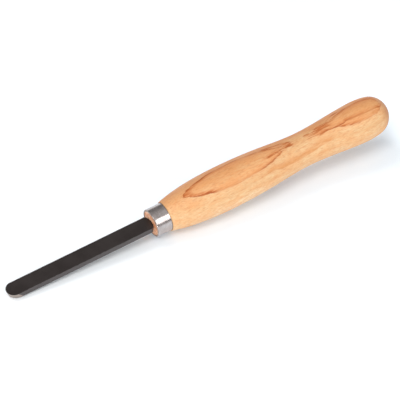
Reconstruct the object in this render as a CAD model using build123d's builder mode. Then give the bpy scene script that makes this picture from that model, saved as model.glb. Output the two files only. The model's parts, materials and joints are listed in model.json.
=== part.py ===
from build123d import *
from math import atan2, cos, degrees, radians, sin
import os

# A round nose scraper for turning wood: a flat steel blade whose tang is driven into a turned handle,
# with a steel ferrule round the handle's tenon. All sizes are in millimetres.
# Each piece is drawn along the handle's axis: x is 0 at the ferrule's front rim and grows towards
# the butt, y is across the blade, and z is up from the axis through the blade's broad faces.
# At the end the pieces are turned and moved together, to lie on the bench as the tool comes to rest.

# Blade
blade_width = 12.7
blade_thickness = 4.76
blade_reach = 120.4  # from the ferrule's front rim to the cutting edge
edge_ease = 0.35  # rounding along the bar's four long edges
tip_setback = 1.3  # how far the bevel leans back under the cutting edge, at the tip
side_setback = 4.5  # the same at the bar's sides, where the bevel runs out
shoulder_round = 3.0  # the bar's rear corners
shoulder_gap = 0.6  # from the shoulders to the wood

# Tang
tang_length = 60.0
tang_width = 7.0
tang_tip_width = 5.0
tang_thickness = 4.0  # ground a little thinner than the bar
tang_fit = 0.05

# Ferrule
ferrule_length = 12.4
ferrule_diameter = 21.9
ferrule_wall = 1.2
rim_round = 0.6
inner_rim_round = 0.2
back_rim_round = 0.2
ferrule_fit = 0.05

# Handle, from the end of its tenon to the butt
end_grain_recess = 0.2  # the tenon's end face behind the ferrule's front rim
tenon_chamfer = 0.3
pilot_diameter = 6.0
pilot_past_tang = 6.0
shoulder_diameter = 23.2
shoulder_flare = 15.3  # degrees between the axis and the wood, just behind the shoulder
shoulder_ease = 0.5
shoulder_to_belly = 50.0
belly_diameter = 34.1
belly_to_taper = 40.0
taper_diameter = 30.9
taper_to_waist = 28.0
waist_diameter = 26.8
waist_to_bulb = 50.0
bulb_diameter = 32.8
bulb_to_butt = 29.1
butt_drop = 0.7  # how much smaller the butt's radius is than the bulb's
butt_blend = 10.0  # degrees of the butt's arc beyond its widest point, where the side joins it

# Stations along the axis
nose_tip = -blade_reach
nose_centre = nose_tip + blade_width / 2
heel_x = nose_tip + tip_setback
shoulder_x = end_grain_recess - shoulder_gap
tang_end = shoulder_x + tang_length
belly_x = ferrule_length + shoulder_to_belly
taper_x = belly_x + belly_to_taper
waist_x = taper_x + taper_to_waist
bulb_x = waist_x + waist_to_bulb
butt_x = bulb_x + bulb_to_butt
butt_radius = bulb_diameter / 2 - butt_drop
butt_centre = butt_x - butt_radius

ferrule_bore = ferrule_diameter / 2 - ferrule_wall
tenon_radius = ferrule_bore - ferrule_fit


def turned_side():
    """Draws the handle's side, from the shoulder to the middle of the butt."""
    blend = radians(butt_blend)
    side = Spline(
        (ferrule_length, shoulder_diameter / 2),
        (belly_x, belly_diameter / 2),
        (taper_x, taper_diameter / 2),
        (waist_x, waist_diameter / 2),
        (bulb_x, bulb_diameter / 2),
        (butt_centre + butt_radius * sin(blend), butt_radius * cos(blend)),
        tangents=[
            (cos(radians(shoulder_flare)), sin(radians(shoulder_flare))),
            (cos(blend), -sin(blend)),
        ],
    )
    butt_turn = 90 - butt_blend
    CenterArc((butt_centre, 0), butt_radius, butt_turn, -butt_turn)
    return side


def blade_outline(height, tip, side_start):
    """The bar seen from above: a rounded nose from tip to side_start, and rounded shoulders."""
    half = blade_width / 2
    with BuildSketch(Plane.XY.offset(height)) as outline:
        with BuildLine():
            EllipticalCenterArc((side_start, 0), side_start - tip, half, 90, arc_size=180)
            FilletPolyline(
                (side_start, -half),
                (shoulder_x, -half),
                (shoulder_x, half),
                (side_start, half),
                radius=shoulder_round,
            )
        make_face()
    return outline.sketch


def tang_outline(clearance):
    """The tang seen from above, at its underside, grown by a clearance all round."""
    root = (shoulder_x - shoulder_round, tang_width / 2 + clearance)
    tip = (tang_end + clearance, tang_tip_width / 2 + clearance)
    with BuildSketch(Plane.XY.offset(-tang_thickness / 2 - clearance)) as outline:
        with BuildLine():
            Polyline(root, tip, (tip[0], -tip[1]), (root[0], -root[1]), close=True)
        make_face()
    return outline.sketch


# Blade: a bar with eased edges, ground to a round nose, with its tang
with BuildPart() as blade:
    with BuildSketch(Plane.YZ.offset(nose_tip)):
        RectangleRounded(blade_width, blade_thickness, edge_ease)
    extrude(amount=shoulder_x - nose_tip)
    cutting_edge = blade_outline(blade_thickness / 2, nose_tip, nose_centre)
    heel = blade_outline(-blade_thickness / 2, heel_x, nose_centre + side_setback)
    loft([heel, cutting_edge], ruled=True, mode=Mode.INTERSECT)
    extrude(tang_outline(0), amount=tang_thickness)

# Ferrule: a short tube with rounded rims
with BuildPart() as ferrule:
    with BuildSketch():
        with BuildLine():
            FilletPolyline(
                (0, ferrule_bore),
                (0, ferrule_diameter / 2),
                (ferrule_length, ferrule_diameter / 2),
                (ferrule_length, ferrule_bore),
                radius=[inner_rim_round, rim_round, back_rim_round, 0],
                close=True,
            )
        make_face()
    revolve(axis=Axis.X)

# Handle: turned to its outline, then bored for the tang
with BuildPart() as handle:
    with BuildSketch() as handle_section:
        with BuildLine():
            Polyline(
                (butt_x, 0),
                (end_grain_recess, 0),
                (end_grain_recess, tenon_radius - tenon_chamfer),
                (end_grain_recess + tenon_chamfer, tenon_radius),
                (ferrule_length, tenon_radius),
                (ferrule_length, shoulder_diameter / 2),
            )
            turned_side()
        make_face()
        shoulder = (ferrule_length, shoulder_diameter / 2)
        fillet(handle_section.vertices().sort_by_distance(shoulder)[0], shoulder_ease)
    revolve(axis=Axis.X)
    with Locations(-Plane.YZ.offset(end_grain_recess)):
        Hole(pilot_diameter / 2, depth=tang_length + pilot_past_tang)
    pocket_height = tang_thickness + 2 * tang_fit
    extrude(tang_outline(tang_fit), amount=pocket_height, mode=Mode.SUBTRACT)

# The tool rests on the heel of its bevel and on the belly. Of all lines from the heel to the
# handle's underside, the steepest one touches the belly, and it is laid level.
tilt_samples = 2000
with BuildLine():
    side = turned_side()
    side_points = [side @ (i / tilt_samples) for i in range(tilt_samples + 1)]
rest_tilt = max(atan2(p.Y - blade_thickness / 2, p.X - heel_x) for p in side_points)

# The origin is on the bench, under the middle of the tool's length.
nose_reach = nose_tip * cos(rest_tilt) - blade_thickness / 2 * sin(rest_tilt)
butt_reach = butt_centre * cos(rest_tilt) + butt_radius
at_rest = Plane(
    origin=(
        -(nose_reach + butt_reach) / 2,
        0,
        blade_thickness / 2 * cos(rest_tilt) - heel_x * sin(rest_tilt),
    ),
    x_dir=(cos(rest_tilt), 0, sin(rest_tilt)),
    z_dir=(-sin(rest_tilt), 0, cos(rest_tilt)),
)

os.makedirs("parts", exist_ok=True)
for name, piece in (("blade", blade), ("ferrule", ferrule), ("handle", handle)):
    placed = piece.part.moved(at_rest.location)
    placed.label = name
    export_step(placed, f"parts/{name}.step")

print(f"rest tilt {degrees(rest_tilt):.3f} degrees, drawn at {at_rest.origin}")
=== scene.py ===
import json
import math

import bpy
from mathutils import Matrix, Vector

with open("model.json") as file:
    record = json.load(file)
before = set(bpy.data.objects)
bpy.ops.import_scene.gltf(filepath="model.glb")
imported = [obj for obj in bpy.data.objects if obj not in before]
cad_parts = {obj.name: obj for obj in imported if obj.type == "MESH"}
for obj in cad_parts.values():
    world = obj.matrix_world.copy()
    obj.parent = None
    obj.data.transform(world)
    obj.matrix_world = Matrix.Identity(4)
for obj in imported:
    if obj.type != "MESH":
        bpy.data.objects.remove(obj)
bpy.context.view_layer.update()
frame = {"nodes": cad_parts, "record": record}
nodes = frame["nodes"]
print("frame loaded:", ", ".join(sorted(nodes)))

millimetre = 0.001
noiseMiddle = 0.5  # the value that a noise texture varies around


def span(name, direction):
    # From where to where a CAD node goes in a direction.
    places = [vertex.co.dot(direction) for vertex in nodes[name].data.vertices]
    return min(places), max(places)


def sizeOf(name, direction):
    low, high = span(name, direction)
    return (high - low) / millimetre


# How the tool lies, as the frame gives it: the blade's flat underside says how steeply its axis rises
# towards the butt, and the ferrule's front rim is where the axis starts.
underside = next(mount for mount in frame["record"]["mounts"] if mount["name"] == "blade_underside")
upDirection = -Vector(underside["axis"]).normalized()
acrossDirection = Vector((0, 1, 0))
alongDirection = acrossDirection.cross(upDirection)
tilt = math.asin(alongDirection.z)
ferruleFront = span("ferrule", alongDirection)[0]
axisHeight = sum(span("ferrule", upDirection)) / 2
axisStart = alongDirection * ferruleFront + upDirection * axisHeight

# The settings of the three finishes are in millimetres, but a relief's Distance is in metres.
# A fade is written as (start, end) where it goes from 0 to 1, and else as (start, end, low, high).


def feed(tree, node, inputs):
    # Links each input to another node's output, or sets it to a fixed value.
    for key, value in inputs.items():
        socket = node.inputs[key]
        if isinstance(value, bpy.types.NodeSocket):
            tree.links.new(value, socket)
        else:
            socket.default_value = (*value, 1.0) if socket.type == "RGBA" else value


def addNode(tree, kind, inputs=None, **settings):
    node = tree.nodes.new("ShaderNode" + kind)
    for name, value in settings.items():
        setattr(node, name, value)
    feed(tree, node, inputs or {})
    return node


def maths(tree, operation, first, second=0.0, clamp=False):
    inputs = {0: first, 1: second}
    return addNode(tree, "Math", inputs, operation=operation, use_clamp=clamp).outputs[0]


def times(tree, value, *factors):
    for factor in factors:
        value = maths(tree, "MULTIPLY", value, factor)
    return value


def plus(tree, value, *others):
    for other in others:
        value = maths(tree, "ADD", value, other)
    return value


def squared(tree, value):
    return maths(tree, "POWER", value, 2.0)


def fade(tree, value, start, end, low=0.0, high=1.0, smooth=True):
    # Goes from low at start to high at end.
    inputs = {"Value": value, "From Min": start, "From Max": end, "To Min": low, "To Max": high}
    kind = "SMOOTHSTEP" if smooth else "LINEAR"
    return addNode(tree, "MapRange", inputs, interpolation_type=kind).outputs["Result"]


def mixValues(tree, share, first, second):
    return addNode(tree, "Mix", {0: share, 2: first, 3: second}).outputs[0]


def mixColours(tree, share, first, second):
    return addNode(tree, "Mix", {0: share, 6: first, 7: second}, data_type="RGBA").outputs[2]


def parts(tree, vector):
    return addNode(tree, "SeparateXYZ", {0: vector}).outputs


def joined(tree, x, y, z):
    return addNode(tree, "CombineXYZ", {0: x, 1: y, 2: z}).outputs[0]


def lengthOf(tree, vector):
    return addNode(tree, "VectorMath", {0: vector}, operation="LENGTH").outputs["Value"]


def reach(tree, vector, direction):
    # How far a vector goes in a direction.
    return addNode(tree, "VectorMath", {0: vector, 1: direction}, operation="DOT_PRODUCT").outputs["Value"]


def stretched(tree, vector, lengths):
    # Makes a pattern of unit size as long in x, y and z as lengths says.
    factors = [1 / length for length in lengths]
    return addNode(tree, "VectorMath", {0: vector, 1: factors}, operation="MULTIPLY").outputs[0]


def noise(tree, vector, scale=1.0, detail=2.0, roughness=0.5):
    inputs = {"Vector": vector, "Scale": scale, "Detail": detail, "Roughness": roughness}
    return addNode(tree, "TexNoise", inputs).outputs["Fac"]


def relief(tree, height, settings):
    return addNode(tree, "Bump", {"Height": height, **settings}).outputs[0]


def alongTool(tree):
    # The point in millimetres, and its place along the tool's axis, across the blade, and up from the axis.
    inputs = {
        "Vector": addNode(tree, "TexCoord").outputs["Object"],
        "Location": axisStart,
        "Rotation": (0, -tilt, 0),
        "Scale": (millimetre, millimetre, millimetre),
    }
    point = addNode(tree, "Mapping", inputs, vector_type="TEXTURE").outputs[0]
    return point, *parts(tree, point)


def upwards(tree):
    # How far the surface faces up from the tool's axis: 1 on the blade's top, -1 underneath.
    return reach(tree, addNode(tree, "TexCoord").outputs["Normal"], upDirection)


def newGroup(name, output, settings):
    # An effect that more than one finish uses. It takes the point and the named settings.
    group = bpy.data.node_groups.new(name, "ShaderNodeTree")
    group.interface.new_socket("Point", in_out="INPUT", socket_type="NodeSocketVector")
    for label, value in settings.items():
        socket = group.interface.new_socket(label, in_out="INPUT", socket_type="NodeSocketFloat")
        socket.default_value = value
    group.interface.new_socket(output, in_out="OUTPUT", socket_type="NodeSocketFloat")
    given = group.nodes.new("NodeGroupInput").outputs
    result = group.nodes.new("NodeGroupOutput").inputs[0]
    return group, given, result


def useGroup(tree, group, inputs):
    return addNode(tree, "Group", inputs, node_tree=group).outputs[0]


# Patches that vary slowly, with finer ones on top, around 0.5
finer = 9.0  # how many times smaller the finer ones are
mottle, given, result = newGroup("mottle", "Mottle", {"Patch Size": 10.0, "Fine Share": 0.3})
coarse = noise(mottle, given["Point"], maths(mottle, "DIVIDE", 1.0, given["Patch Size"]), detail=1.0)
fine = noise(mottle, given["Point"], maths(mottle, "DIVIDE", finer, given["Patch Size"]), detail=3.0)
mottle.links.new(mixValues(mottle, given["Fine Share"], coarse, fine), result)

# Fine parallel lines along x, such as a polishing belt or a turning tool leaves
fineLines, given, result = newGroup("fineLines", "Lines", {"Line Width": 0.2, "Line Length": 20.0})
lengthwise, sideways, upright = parts(fineLines, given["Point"])
shrunk = joined(
    fineLines,
    maths(fineLines, "DIVIDE", lengthwise, given["Line Length"]),
    maths(fineLines, "DIVIDE", sideways, given["Line Width"]),
    maths(fineLines, "DIVIDE", upright, given["Line Width"]),
)
fineLines.links.new(noise(fineLines, shrunk, detail=3.0, roughness=0.6), result)

# Wear on an edge: full on the edge, gone at about Width from it, with a broken border
raggedness = 2.5
wearInputs = {"Edge Distance": 0.0, "Width": 0.4, "Patch Size": 2.0}
edgeWear, given, result = newGroup("edgeWear", "Wear", wearInputs)
broken = noise(edgeWear, given["Point"], maths(edgeWear, "DIVIDE", 1.0, given["Patch Size"]), detail=4.0)
shift = maths(edgeWear, "SUBTRACT", broken, noiseMiddle)
distance = plus(edgeWear, given["Edge Distance"], times(edgeWear, shift, given["Width"], raggedness))
edgeWear.links.new(fade(edgeWear, distance, given["Width"], 0.0), result)


def newFinish(name):
    material = bpy.data.materials.new(name)
    material.use_nodes = True
    tree = material.node_tree
    return material, tree, tree.nodes["Principled BSDF"]


def dress(node, material):
    # Gives a CAD node its finish.
    node.data.materials.clear()
    node.data.materials.append(material)


# The blade: matt black steel, bare where the bevel is ground, with its side faces painted lighter as
# painted sheen
blade = {
    "halfWidth": sizeOf("blade", acrossDirection) / 2,
    "halfThickness": sizeOf("blade", upDirection) / 2,
    "tip": (span("blade", alongDirection)[0] - ferruleFront) / millimetre,
    "bevelLength": 11.8,  # from the tip to where the bevel runs out along the blade's sides
    "bevelBorder": 0.6,
    "leansUnder": (-0.02, -0.08),  # the bevel faces a little downwards
    "notUnderside": (-0.97, -0.9),
    "sheenOnSides": (0.6, 0.3),
    "black": (0.0125, 0.0072, 0.006),
    "greyed": (0.026, 0.0185, 0.017),
    # painted sheen: the side faces' colour, lighter than the top, standing in for the pale floor they
    # reflect
    "side": (0.043, 0.034, 0.033),
    "worn": (0.16, 0.15, 0.145),
    "ground": (0.41, 0.34, 0.3),
    "patches": {"Patch Size": 14.0, "Fine Share": 0.35},
    "greying": (0.38, 0.62, 0.0, 0.5),  # by the patches
    "wear": {"Width": 0.3, "Patch Size": 3.0},
    "wornShare": 0.35,
    "roughness": (0.3, 0.7, 0.3, 0.42),  # by the patches
    "groundRoughness": 0.3,
    "specular": 0.55,
    "grit": 6.0,  # grains in a millimetre
    "gritHeight": 0.6,
    "drawnLines": {"Line Width": 0.35, "Line Length": 30.0},
    "lineHeight": 0.5,
    "relief": {"Strength": 0.12, "Distance": 0.0002},
}
blackSteel, tree, shader = newFinish("blackSteel")
point, place, across, up = alongTool(tree)
facing = upwards(tree)
leansUnder = fade(tree, facing, *blade["leansUnder"])
notUnderside = fade(tree, facing, *blade["notUnderside"])
bevelEnd = blade["tip"] + blade["bevelLength"]
atNose = fade(tree, place, bevelEnd, bevelEnd - blade["bevelBorder"])
bevel = times(tree, leansUnder, notUnderside, atNose)
sheenOnSides = fade(tree, maths(tree, "ABSOLUTE", facing), *blade["sheenOnSides"])
patches = useGroup(tree, mottle, {"Point": point, **blade["patches"]})
sideGap = maths(tree, "SUBTRACT", blade["halfWidth"], maths(tree, "ABSOLUTE", across))
faceGap = maths(tree, "SUBTRACT", blade["halfThickness"], maths(tree, "ABSOLUTE", up))
edgeGap = maths(tree, "MAXIMUM", sideGap, faceGap)
worn = useGroup(tree, edgeWear, {"Point": point, "Edge Distance": edgeGap, **blade["wear"]})
colour = mixColours(tree, fade(tree, patches, *blade["greying"]), blade["black"], blade["greyed"])
# Painted sheen: the side faces get a lighter colour than the top, for the light they catch from the floor
colour = mixColours(tree, sheenOnSides, colour, blade["side"])
colour = mixColours(tree, times(tree, worn, blade["wornShare"]), colour, blade["worn"])
blackRoughness = fade(tree, patches, *blade["roughness"])
grit = noise(tree, point, blade["grit"])
drawn = useGroup(tree, fineLines, {"Point": point, **blade["drawnLines"]})
height = plus(tree, times(tree, grit, blade["gritHeight"]), times(tree, drawn, blade["lineHeight"]))
feed(tree, shader, {
    "Base Color": mixColours(tree, bevel, colour, blade["ground"]),
    "Metallic": bevel,
    "Roughness": mixValues(tree, bevel, blackRoughness, blade["groundRoughness"]),
    "Specular IOR Level": blade["specular"],
    "Normal": relief(tree, height, blade["relief"]),
})
dress(nodes["blade"], blackSteel)
print("blade finished")

# The ferrule: turned steel, with fine lines round it
ferrule = {
    "length": sizeOf("ferrule", alongDirection),
    "radius": sizeOf("ferrule", acrossDirection) / 2,
    "steel": (0.58, 0.52, 0.505),
    "dull": (0.41, 0.36, 0.345),
    "rim": (0.36, 0.29, 0.26),
    "patches": {"Patch Size": 4.5, "Fine Share": 0.4},
    "dullPatches": (0.4, 0.62, 0.0, 0.8),
    "turnedLines": {"Line Width": 0.25, "Line Length": 9.0},
    "dullLines": (0.42, 0.6, 0.0, 0.45),
    "wear": {"Width": 0.5, "Patch Size": 2.0},
    "wornShare": 0.8,
    "roughness": (0.3, 0.7, 0.16, 0.26),  # by the lines
    "rimRoughness": 0.5,
    "relief": {"Strength": 0.06, "Distance": 0.0001},
}
ferruleSteel, tree, shader = newFinish("ferruleSteel")
point, place, across, up = alongTool(tree)
around = times(tree, maths(tree, "ARCTAN2", across, up), ferrule["radius"])
turnedPoint = joined(tree, around, place, 0.0)
turnedLines = useGroup(tree, fineLines, {"Point": turnedPoint, **ferrule["turnedLines"]})
patches = useGroup(tree, mottle, {"Point": point, **ferrule["patches"]})
rimGap = maths(tree, "MINIMUM", place, maths(tree, "SUBTRACT", ferrule["length"], place))
worn = useGroup(tree, edgeWear, {"Point": point, "Edge Distance": rimGap, **ferrule["wear"]})
dullPatches = fade(tree, patches, *ferrule["dullPatches"])
dullLines = fade(tree, turnedLines, *ferrule["dullLines"])
dulled = maths(tree, "MAXIMUM", dullPatches, dullLines)
colour = mixColours(tree, dulled, ferrule["steel"], ferrule["dull"])
polish = fade(tree, turnedLines, *ferrule["roughness"])
feed(tree, shader, {
    "Base Color": mixColours(tree, times(tree, worn, ferrule["wornShare"]), colour, ferrule["rim"]),
    "Metallic": 1.0,
    "Roughness": mixValues(tree, worn, polish, ferrule["rimRoughness"]),
    "Normal": relief(tree, turnedLines, ferrule["relief"]),
})
dress(nodes["ferrule"], ferruleSteel)
print("ferrule finished")

# The handle: pale open-grained wood under a thin satin lacquer. Its rings are bent round a heart below
# it, so the top shows two of them as outlines, one inside the other. The outer outline is the lower
# ring, and the further rings lie below that. The tables give values by the place along the handle.
wood = {
    "light": (0.722, 0.498, 0.27),
    # painted light: the paler colour of the lower side
    "low": (0.79, 0.612, 0.38),
    "warm": (0.725, 0.342, 0.137),
    # the far side's colour: deeper wood tone with painted shade
    "deepToneAndShade": (0.6, 0.238, 0.09),
    "band": (0.64, 0.3, 0.115),
    "smear": (0.54, 0.16, 0.043),
    "line": (0.36, 0.085, 0.02),
    "pore": (0.55, 0.2, 0.065),
    "endGrain": (0.8, 0.3, 0.13),
    "endPale": (0.95, 0.62, 0.42),
    "jointLineAndShade": (0.16, 0.06, 0.03),
    "ringBend": 95.0,  # the rings' own radius
    "leastSlope": 0.14,  # on the very top, where a ring and the surface are parallel
    # The two rings: how far they lean from the top towards the near side, their height over the axis,
    # how bold their pores are, and how wide the smear of pores is
    "outer": {
        "turn": math.radians(7.5),
        "height": {
            0: 15.4, 18: 14.1, 25: 14.45, 27: 14.7, 29: 14.86, 31: 14.98, 34: 15.08, 38: 15.15, 45: 15.2,
            51: 14.9, 57: 14.72, 70: 14.6, 84: 14.65, 100: 14.45, 109: 14.4, 117: 14.0, 125: 13.55,
            131: 13.55, 137: 13.38, 141: 13.48, 146: 13.64, 150: 13.84, 157: 14.25, 161: 14.45, 166: 14.3,
            172: 14.25, 185: 14.45, 193: 14.3, 200: 13.9, 210: 11.0,
        },
        "bold": {
            0: 0.4, 24: 0.7, 30: 0.9, 38: 0.95, 46: 1.0, 54: 0.3, 84: 0.3, 96: 0.75, 108: 0.8, 118: 0.85,
            126: 0.55, 132: 0.5, 142: 0.75, 150: 0.8, 160: 0.85, 168: 0.9, 173: 0.75, 178: 0.5, 184: 0.35,
            194: 0.35, 200: 0.8, 210: 0.9,
        },
        "farSide": (0.0, 6.0, 0.0, 0.8),  # the least boldness there
        "spread": {0: 1.0, 22: 1.1, 26: 1.45, 33: 1.45, 40: 1.0, 210: 1.0},
    },
    "inner": {
        "turn": math.radians(-2.0),
        "height": {
            0: 18.0, 82: 17.5, 88: 16.0, 92: 15.5, 105: 14.65, 113: 14.1, 125: 13.6, 131: 13.6, 137: 13.4,
            141: 13.52, 145: 13.65, 148: 13.8, 151: 14.05, 154: 14.27, 157: 14.45, 160: 14.3, 163: 14.0,
            170: 14.8, 182: 15.25, 194: 14.6, 198: 13.9, 204: 12.1, 210: 11.0,
        },
        "bold": {
            0: 0.0, 94: 0.0, 101: 0.8, 110: 0.88, 118: 0.9, 126: 0.65, 132: 0.6, 142: 0.85, 152: 0.8,
            156: 0.7, 160: 0.3, 165: 0.9, 172: 0.58, 192: 0.45, 200: 0.85, 210: 0.9,
        },
    },
    "heightRange": (10.0, 20.0),  # what the heights lie between
    "spreadRange": (0.0, 3.0),
    # The pores start at a ring and thin out above it.
    "poreLine": {"above": (1.7, 0.0), "below": (-0.5, 0.1), "slope": (0.12, 0.3, 0.32, 0.44)},
    "lineFrom": (0.7, 0.88),
    "lineGaps": (0.36, 0.56, 0.35, 1.0),
    "poreSmear": {"above": (4.0, 0.6), "below": (-0.7, 0.3), "streaks": (0.38, 0.54, 0.35, 1.15)},
    # The further rings, each a soft band of pores
    "further": {
        "gap": 5.8,  # from one ring to the next
        "rise": {
            0: 1.0, 60: 1.2, 85: 2.2, 97: 2.4, 105: 1.2, 118: 0.4, 128: 0.5, 134: 1.0, 139: 1.6, 144: 2.2,
            152: 2.3, 160: 1.7, 175: 0.5, 210: 0.0,
        },
        "riseRange": (0.0, 3.0),
        "bold": {
            0: 0.12, 50: 0.15, 85: 0.4, 97: 0.8, 106: 0.85, 118: 1.0, 142: 1.0, 152: 0.8, 160: 0.4,
            210: 0.4,
        },
        "above": (0.7, 0.2),  # in shares of the gap, as the next one
        "below": (0.0, 0.1),
        "uneven": (0.3, 0.5, 0.75, 1.3),
        "lowDown": (-9.0, -5.5, 0.25, 1.0),
        "share": 0.9,
    },
    # Patterns in the wood: how far three of them warp the rings, and how much of the others shows
    "slowWarp": {"lengths": (45, 12, 12), "share": 0.7},
    "quickWarp": {"lengths": (12, 2.5, 2.5), "share": 0.5},
    "streakWarp": 0.35,
    "uneven": (14, 4, 4),
    "patchStretch": (3, 1, 1),
    "patches": {"Patch Size": 6.0, "Fine Share": 0.5},
    "streaks": {"Line Width": 1.2, "Line Length": 14.0},
    "fineStreaks": {"Line Width": 1.0, "Line Length": 13.0},
    "fibres": {"Line Width": 0.6, "Line Length": 10.0},
    "fibreShare": (0.4, 0.7, 0.0, 0.6),
    "flecks": {"Line Width": 1.1, "Line Length": 5.0},
    "fleckShare": (0.5, 0.66, 0.0, 0.35),
    "pores": {"Line Width": 0.6, "Line Length": 3.0},
    "poresFrom": (0.5, 0.64),
    "poreShare": 0.28,
    # Where the wood is warm: inside the outer outline, near the shoulder, and in patches. The far side is
    # darker still: the heartwood's deeper tone, with painted shade for the dimmer light there
    "middle": {"above": (-0.4, 0.5), "streaks": (0.4, 0.58, 0.6, 1.0)},
    "shoulder": {"place": (46.0, 24.0, 0.0, 0.6), "above": (-4.5, -1.0)},
    "warmShare": 0.78,
    "patchShare": (0.4, 0.62, 0.0, 0.5),
    "farSide": {
        "across": (-2.0, 10.0, 0.0, 0.9),
        "up": (-7.0, 6.0),
        "streaks": (0.4, 0.58, 0.7, 1.0),
    },
    # Where it is painted palest, as painted light on the lower side: low down, from the shoulder to the
    # waist
    "paintedLowLight": {
        "above": (-5.0, -13.0),
        "toWaist": (105.0, 75.0, 0.1, 1.0),
        "toShoulder": (15.0, 60.0, 0.2, 1.0),
    },
    # the rounded butt: painted shade where it turns from the lamps, with the darker end grain there
    "butt": (196.0, 208.5, 0.0, 0.8),
    "endSpots": {"Patch Size": 2.2, "Fine Share": 0.4},
    # the end face: its spots, and painted light that makes it paler towards the rim
    "endFace": {"place": (0.9, 0.4), "spotsFrom": (0.4, 0.56), "fromRim": (9.5, 8.6, 0.35, 1.0)},
    # The joint behind the ferrule, painted dark: painted shade in the gap there, with the dark line where
    # the wood starts
    "atFerrule": {
        "place": (ferrule["length"] + 0.8, ferrule["length"] + 0.4),
        "radius": (ferrule["radius"] + 0.45, ferrule["radius"] + 0.25),
        "behindEnd": (2.0, 3.0),
        "share": 0.9,
    },
    "roughness": (0.3, 0.7, 0.4, 0.55),  # by the patches
    "specular": 0.3,
    "fibreHeight": 0.35,
    "relief": {"Strength": 0.2, "Distance": 0.0002},
}


def course(tree, place, table, low=0.0, high=1.0):
    # A smooth curve through the table's values, all between low and high, from its first place to its last.
    end = max(table)
    node = addNode(tree, "FloatCurve", {1: maths(tree, "DIVIDE", place, end)})
    points = node.mapping.curves[0].points
    spots = [(at / end, (value - low) / (high - low)) for at, value in table.items()]
    points[0].location, points[1].location = spots[0], spots[-1]
    for spot in spots[1:-1]:
        points.new(*spot)
    node.mapping.update()
    return fade(tree, node.outputs[0], 0.0, 1.0, low, high, smooth=False)


def ringPlace(tree, ring, point, place, radius, warp):
    # How far a point lies above a ring, and how steeply the handle's surface cuts through it there.
    level = reach(tree, point, (0.0, -math.sin(ring["turn"]), math.cos(ring["turn"])))
    side = reach(tree, point, (0.0, math.cos(ring["turn"]), math.sin(ring["turn"])))
    bend = maths(tree, "DIVIDE", squared(tree, side), 2 * wood["ringBend"])
    height = course(tree, place, ring["height"], *wood["heightRange"])
    above = maths(tree, "SUBTRACT", plus(tree, level, bend, warp), height)
    slope = maths(tree, "DIVIDE", maths(tree, "ABSOLUTE", side), radius)
    return above, maths(tree, "MAXIMUM", slope, wood["leastSlope"])


def ringPores(tree, above, slope, streaks, bold, spread=1.0):
    # The open pores along a ring: a dark line, and a wider smear.
    line = wood["poreLine"]
    smear = wood["poreSmear"]
    distance = maths(tree, "DIVIDE", above, slope)
    density = times(
        tree,
        fade(tree, distance, *line["above"]),
        fade(tree, distance, *line["below"]),
        fade(tree, slope, *line["slope"]),
    )
    dark = fade(tree, plus(tree, streaks, density), *wood["lineFrom"])
    smeared = times(
        tree,
        fade(tree, maths(tree, "DIVIDE", distance, spread), *smear["above"]),
        fade(tree, distance, *smear["below"]),
        fade(tree, streaks, *smear["streaks"]),
    )
    return times(tree, dark, squared(tree, bold)), times(tree, smeared, bold)


paleWood, tree, shader = newFinish("paleWood")
point, place, across, up = alongTool(tree)
radius = lengthOf(tree, joined(tree, 0.0, across, up))
streaks, fineStreaks, fibres, flecks, pores = [
    useGroup(tree, fineLines, {"Point": point, **wood[name]})
    for name in ("streaks", "fineStreaks", "fibres", "flecks", "pores")
]
pores = fade(tree, pores, *wood["poresFrom"])
longPoint = stretched(tree, point, wood["patchStretch"])
patches = useGroup(tree, mottle, {"Point": longPoint, **wood["patches"]})
uneven = noise(tree, stretched(tree, point, wood["uneven"]))
slowWarp = noise(tree, stretched(tree, point, wood["slowWarp"]["lengths"]), detail=1.0)
quickWarp = noise(tree, stretched(tree, point, wood["quickWarp"]["lengths"]))
warp = plus(
    tree,
    times(tree, slowWarp, wood["slowWarp"]["share"]),
    times(tree, quickWarp, wood["quickWarp"]["share"]),
    times(tree, streaks, wood["streakWarp"]),
)
warpShares = wood["slowWarp"]["share"] + wood["quickWarp"]["share"] + wood["streakWarp"]
warp = maths(tree, "SUBTRACT", warp, warpShares * noiseMiddle)

# The two rings at the top
aboveOuter, outerSlope = ringPlace(tree, wood["outer"], point, place, radius, warp)
aboveInner, innerSlope = ringPlace(tree, wood["inner"], point, place, radius, warp)
outerBold = course(tree, place, wood["outer"]["bold"])
outerBold = maths(tree, "MAXIMUM", outerBold, fade(tree, across, *wood["outer"]["farSide"]))
innerBold = course(tree, place, wood["inner"]["bold"])
spread = course(tree, place, wood["outer"]["spread"], *wood["spreadRange"])
outerLine, outerSmear = ringPores(tree, aboveOuter, outerSlope, fineStreaks, outerBold, spread)
innerLine, innerSmear = ringPores(tree, aboveInner, innerSlope, fineStreaks, innerBold)
line = maths(tree, "MAXIMUM", outerLine, innerLine)
line = maths(tree, "MULTIPLY", line, fade(tree, uneven, *wood["lineGaps"]), clamp=True)
smear = maths(tree, "MAXIMUM", outerSmear, innerSmear, clamp=True)

# The further rings
further = wood["further"]
rise = course(tree, place, further["rise"], *further["riseRange"])
gaps = maths(tree, "DIVIDE", maths(tree, "SUBTRACT", rise, aboveOuter), further["gap"])
aboveNext = maths(tree, "SUBTRACT", 1.0, maths(tree, "FRACT", gaps))
bands = times(
    tree,
    fade(tree, aboveNext, *further["above"]),
    fade(tree, aboveNext, *further["below"]),
    fade(tree, uneven, *further["uneven"]),
    course(tree, place, further["bold"]),
    fade(tree, aboveOuter, *further["lowDown"]),
)
bands = maths(tree, "MULTIPLY", bands, further["share"], clamp=True)

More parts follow.
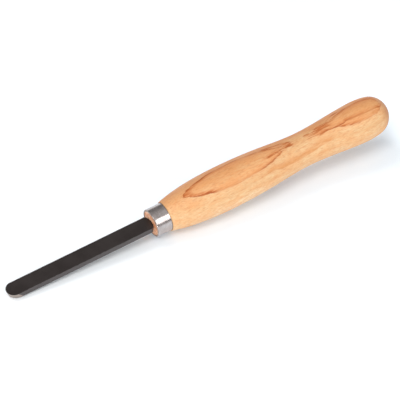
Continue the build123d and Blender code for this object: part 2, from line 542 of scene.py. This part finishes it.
# Warm and pale wood
middle = times(
    tree,
    fade(tree, aboveOuter, *wood["middle"]["above"]),
    fade(tree, streaks, *wood["middle"]["streaks"]),
)
shoulder = times(
    tree,
    fade(tree, place, *wood["shoulder"]["place"]),
    fade(tree, aboveOuter, *wood["shoulder"]["above"]),
)
warmth = times(tree, maths(tree, "MAXIMUM", middle, shoulder), wood["warmShare"])
warmth = maths(tree, "ADD", warmth, fade(tree, patches, *wood["patchShare"]), clamp=True)
# Deeper wood tone and painted shade on the far side, which the lamps light less
farSide = times(
    tree,
    fade(tree, across, *wood["farSide"]["across"]),
    fade(tree, up, *wood["farSide"]["up"]),
    fade(tree, streaks, *wood["farSide"]["streaks"]),
)
# Painted light: the lower side is painted paler, for the light it takes from the floor
paintedLowLight = times(
    tree,
    fade(tree, aboveOuter, *wood["paintedLowLight"]["above"]),
    fade(tree, place, *wood["paintedLowLight"]["toWaist"]),
    fade(tree, place, *wood["paintedLowLight"]["toShoulder"]),
)

# The end grain inside the ferrule's front rim, painted paler near the rim as painted light, and the joint
# behind the ferrule, painted dark as painted shade in the gap
spots = useGroup(tree, mottle, {"Point": point, **wood["endSpots"]})
spots = fade(tree, spots, *wood["endFace"]["spotsFrom"])
# Painted light: the end grain is painted paler near the rim, as a lit ring
spots = times(tree, spots, fade(tree, radius, *wood["endFace"]["fromRim"]))
endColour = mixColours(tree, spots, wood["endPale"], wood["endGrain"])
# Painted shade in the gap behind the ferrule, with the dark line along the wood's edge
jointLineAndShade = times(
    tree,
    fade(tree, place, *wood["atFerrule"]["place"]),
    fade(tree, radius, *wood["atFerrule"]["radius"]),
    fade(tree, place, *wood["atFerrule"]["behindEnd"]),
    wood["atFerrule"]["share"],
)

colour = mixColours(tree, paintedLowLight, wood["light"], wood["low"])
layers = [
    (warmth, wood["warm"]),
    (bands, wood["band"]),
    (farSide, wood["deepToneAndShade"]),
    (fade(tree, fibres, *wood["fibreShare"]), wood["warm"]),
    (fade(tree, flecks, *wood["fleckShare"]), wood["pore"]),
    (smear, wood["smear"]),
    (line, wood["line"]),
    (times(tree, pores, wood["poreShare"]), wood["pore"]),
    # the butt is painted darker towards its end: painted shade, with the darker end grain there
    (fade(tree, place, *wood["butt"]), wood["pore"]),
    (fade(tree, place, *wood["endFace"]["place"]), endColour),
    (jointLineAndShade, wood["jointLineAndShade"]),
]
for share, tint in layers:
    colour = mixColours(tree, share, colour, tint)
height = maths(tree, "SUBTRACT", times(tree, fibres, wood["fibreHeight"]), pores)
feed(tree, shader, {
    "Base Color": colour,
    "Roughness": fade(tree, patches, *wood["roughness"]),
    "Specular IOR Level": wood["specular"],
    "Normal": relief(tree, height, wood["relief"]),
})
dress(nodes["handle"], paleWood)
print("handle finished")

# The white floor and the backdrop, in metres. A glow is seen by the camera and in metal, and lights
# nothing.
studio = {
    "floorRadius": 14.0,
    "floorCorners": 96,
    "floorDrop": 0.0001,
    "floorColour": (0.92, 0.955, 0.98),
    "floorGlow": (0.7, 3.5, 0.05, 0.75),  # from near the tool to beyond the lamps' reach
    "coolGlow": (0.15, 0.6, 1.0),  # under the handle, against the warm light that the wood throws down
    "coolPlace": (-0.07, 0.0),
    "coolReach": (0.45, 0.3),
    "coolStrength": 0.065,
    "horizon": 0.25,
    "zenith": 0.64,
    "zenithFrom": (0.3, 1.0),
    "skirt": (0.35, 0.0, 0.0, 0.4),  # the backdrop's own light, low round the horizon
    "footGlow": (0.12, 0.03, 0.0, 0.35),  # keeps the backdrop's foot white in low views
}


def whereSeen(tree):
    # 1 for what the camera sees, itself or in metal or glass, and 0 where a surface is lit.
    rays = addNode(tree, "LightPath").outputs
    mirrored = maths(tree, "MAXIMUM", rays["Is Glossy Ray"], rays["Is Transmission Ray"])
    return maths(tree, "MAXIMUM", rays["Is Camera Ray"], mirrored)


bpy.ops.mesh.primitive_circle_add(
    vertices=studio["floorCorners"],
    radius=studio["floorRadius"],
    fill_type="NGON",
    location=(0, 0, -studio["floorDrop"]),
)
floor = bpy.context.object
floor.name = "floor"
floorPaint, tree, shader = newFinish("floorPaint")
spot = addNode(tree, "TexCoord").outputs["Object"]
away = lengthOf(tree, spot)
byHandle = fade(tree, parts(tree, spot)[0], *studio["coolPlace"])
byHandle = times(tree, byHandle, fade(tree, away, *studio["coolReach"]))
glow = plus(tree, fade(tree, away, *studio["floorGlow"]), times(tree, byHandle, studio["coolStrength"]))
feed(tree, shader, {
    "Base Color": studio["floorColour"],
    "Roughness": 1.0,
    "Specular IOR Level": 0.0,
    "Emission Color": mixColours(tree, byHandle, (1, 1, 1), studio["coolGlow"]),
    "Emission Strength": times(tree, whereSeen(tree), glow),
})
floor.data.materials.append(floorPaint)

world = bpy.data.worlds.new("studioWorld")
bpy.context.scene.world = world
world.use_nodes = True
tree = world.node_tree
height = parts(tree, addNode(tree, "TexCoord").outputs["Generated"])[2]
overhead = squared(tree, fade(tree, height, *studio["zenithFrom"], smooth=False))
brightness = plus(
    tree,
    times(tree, overhead, studio["zenith"] - studio["horizon"]),
    studio["horizon"],
    fade(tree, height, *studio["skirt"]),
    times(tree, whereSeen(tree), fade(tree, height, *studio["footGlow"])),
)
feed(tree, tree.nodes["Background"], {"Color": (1, 1, 1), "Strength": brightness})
print("floor and backdrop ready")

lights = {
    "key": {"from": (0.3, -0.69, 0.65), "size": (0.8, 2.0), "radiance": 3.5, "inMetal": True},
    "top": {"from": (-0.38, -0.2, 0.9), "size": (1.4, 1.4), "radiance": 5.5, "inMetal": True},
    "fill": {"from": (-0.45, -0.88, 0.1), "size": (2.4, 0.6), "radiance": 9.3, "inMetal": True},
    "back": {"from": (-0.24, 0.45, 0.86), "size": (1.2, 1.2), "radiance": 6.1, "inMetal": False},
}
lightAim = Vector((0.0, 0.0, 0.01))
lightReach = 3.0
for name, light in lights.items():
    lamp = bpy.data.lights.new(name, "AREA")
    lamp.shape = "RECTANGLE"
    lamp.size, lamp.size_y = light["size"]
    lamp.energy = light["radiance"] * math.pi * lamp.size * lamp.size_y
    stand = bpy.data.objects.new(name, lamp)
    bpy.context.collection.objects.link(stand)
    towards = Vector(light["from"]).normalized()
    stand.location = lightAim + towards * lightReach
    stand.rotation_euler = towards.to_track_quat("Z", "Y").to_euler()
    stand.visible_glossy = light["inMetal"]

view = {
    "location": (-0.61091, -0.87167, 1.18591),
    "turn": (42.1775, -2.9375, -31.7013),  # degrees
    "lens": 191.81,  # millimetres, as the sensor
    "sensor": 36.0,
    "clip": (0.05, 60.0),
}
lens = bpy.data.cameras.new("camera")
lens.lens = view["lens"]
lens.sensor_width = view["sensor"]
lens.clip_start, lens.clip_end = view["clip"]
camera = bpy.data.objects.new("camera", lens)
camera.location = view["location"]
camera.rotation_euler = [math.radians(angle) for angle in view["turn"]]
bpy.context.collection.objects.link(camera)
bpy.context.scene.camera = camera
bpy.context.scene.view_settings.view_transform = "Standard"
print("lights and camera ready")
